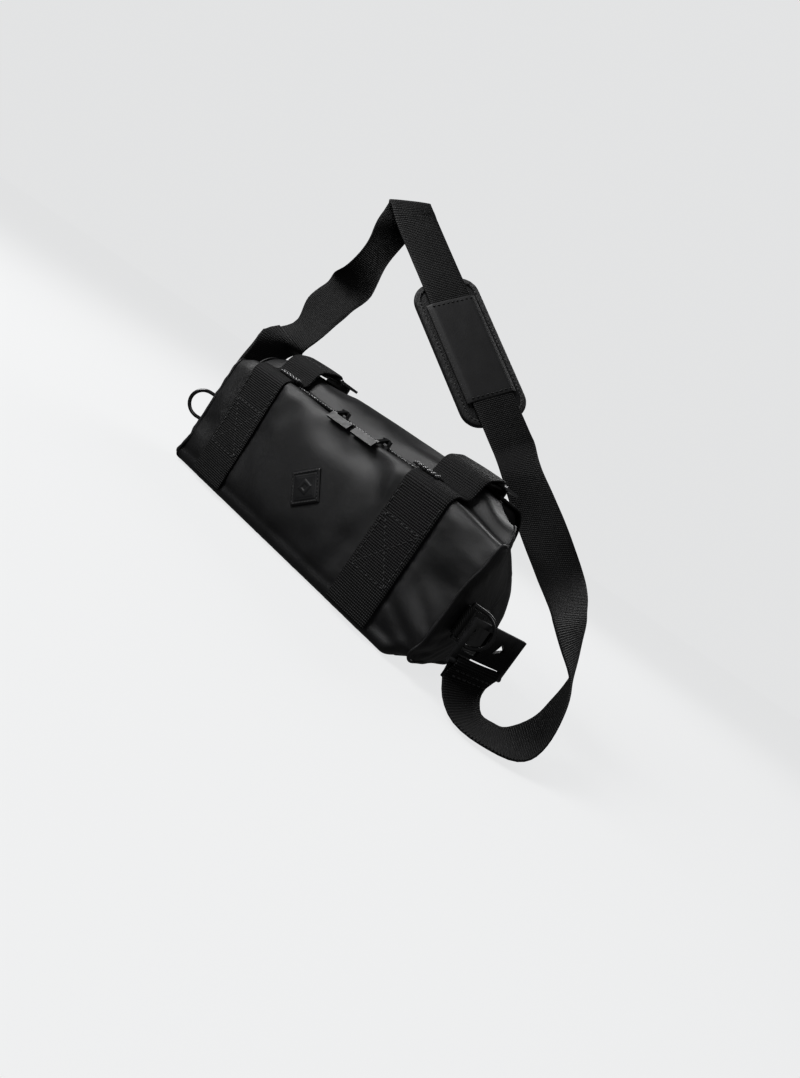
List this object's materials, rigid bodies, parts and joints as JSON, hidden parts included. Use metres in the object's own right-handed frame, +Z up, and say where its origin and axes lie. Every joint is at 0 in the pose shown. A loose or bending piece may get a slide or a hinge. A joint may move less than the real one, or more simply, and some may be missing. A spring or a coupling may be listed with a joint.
{
  "type": "sling bag",
  "caption": "Boxy duffel-shaped padded sling bag: zipped top, two compression straps with hook buckles, D-rings on the ends and a shoulder strap with a sliding pad.",
  "frame": {"origin": "centre of the body's underside, on the face it rests on", "axes": "+X to the bag's right seen from the front and along its length, +Y from the front face to the back, +Z up"},
  "size_m": [0.3969, 0.1503, 0.3082],
  "materials": {
    "shell_fabric": "satin coated woven nylon",
    "piping": "satin coated edge binding",
    "lining_fabric": "matt plain-woven lining",
    "board": "matt sheet",
    "zip_tape": "woven zip tape",
    "zip_teeth": "glossy moulded teeth",
    "black_metal": "black coated metal, semi-gloss",
    "patch": "embossed smooth patch",
    "sleeve_leather": "smooth matt leather-like sleeve",
    "pad_fabric": "soft padded fabric with bound edge",
    "webbing": "ribbed woven webbing"
  },
  "bodies": {
    "bag": {"front_panel": "shell_fabric", "back_panel": "shell_fabric", "bottom_panel": "shell_fabric", "top_panel": "shell_fabric", "left_end_panel": "shell_fabric", "right_end_panel": "shell_fabric", "left_piping": "piping", "right_piping": "piping", "lining": "lining_fabric", "base_board": "board", "zip_tape_front": "zip_tape", "zip_tape_rear": "zip_tape", "zip_teeth_front": "zip_teeth", "zip_teeth_rear": "zip_teeth", "zip_end_tabs": "zip_tape", "front_patch": "patch", "compression_strap_left": "webbing", "compression_strap_right": "webbing", "rear_strap_left": "webbing", "rear_strap_right": "webbing", "ring_tab_left": "webbing", "ring_tab_right": "webbing", "strap_end_loop": "webbing", "shoulder_strap": "webbing"},
    "slider_left": {"slider_left": "black_metal"},
    "slider_right": {"slider_right": "black_metal"},
    "pull_left": {"pull_left": "black_metal"},
    "pull_right": {"pull_right": "black_metal"},
    "hook_left": {"hook_buckle_left": "black_metal"},
    "hook_right": {"hook_buckle_right": "black_metal"},
    "ring_left": {"d_ring_left": "black_metal"},
    "ring_right": {"d_ring_right": "black_metal"},
    "clip": {"strap_clip": "black_metal"},
    "pad": {"pad_body": "pad_fabric", "pad_sleeve": "sleeve_leather"}
  },
  "joints": [
    {"name": "zip_left_slide", "type": "slide", "parent": "bag", "child": "slider_left", "axis": [1, 0, 0], "range_m": [-0.046, 0]},
    {"name": "zip_right_slide", "type": "slide", "parent": "bag", "child": "slider_right", "axis": [1, 0, 0], "range_m": [0, 0.027]},
    {"name": "pull_left_swing", "type": "hinge", "parent": "slider_left", "child": "pull_left", "pos_m": [-0.013, -0.048, 0.111], "axis": [1, 0, 0], "range_deg": [-115, 0]},
    {"name": "pull_right_swing", "type": "hinge", "parent": "slider_right", "child": "pull_right", "pos_m": [0.032, -0.048, 0.111], "axis": [1, 0, 0], "range_deg": [-115, 0]},
    {"name": "hook_left_lift", "type": "hinge", "parent": "bag", "child": "hook_left", "pos_m": [-0.088, -0.013, 0.13], "axis": [1, 0, 0], "range_deg": [0, 70]},
    {"name": "hook_right_lift", "type": "hinge", "parent": "bag", "child": "hook_right", "pos_m": [0.088, -0.013, 0.13], "axis": [1, 0, 0], "range_deg": [0, 70]},
    {"name": "ring_left_swing", "type": "hinge", "parent": "bag", "child": "ring_left", "pos_m": [-0.1512, -0.039, 0.048], "axis": [0, 0, 1], "range_deg": [-110, 35]},
    {"name": "ring_right_swing", "type": "hinge", "parent": "bag", "child": "ring_right", "pos_m": [0.1512, -0.043, 0.048], "axis": [0, 0, 1], "range_deg": [-6, 1.5]},
    {"name": "clip_swing", "type": "hinge", "parent": "bag", "child": "clip", "pos_m": [0.1687, -0.0267, 0.026], "axis": [0.4226, 0.9063, 0], "range_deg": [-5, 0.5]},
    {"name": "pad_slide", "type": "slide", "parent": "bag", "child": "pad", "axis": [0.8203, 0.2016, -0.5353], "range_m": [-0.015, 0.015]}
  ]
}
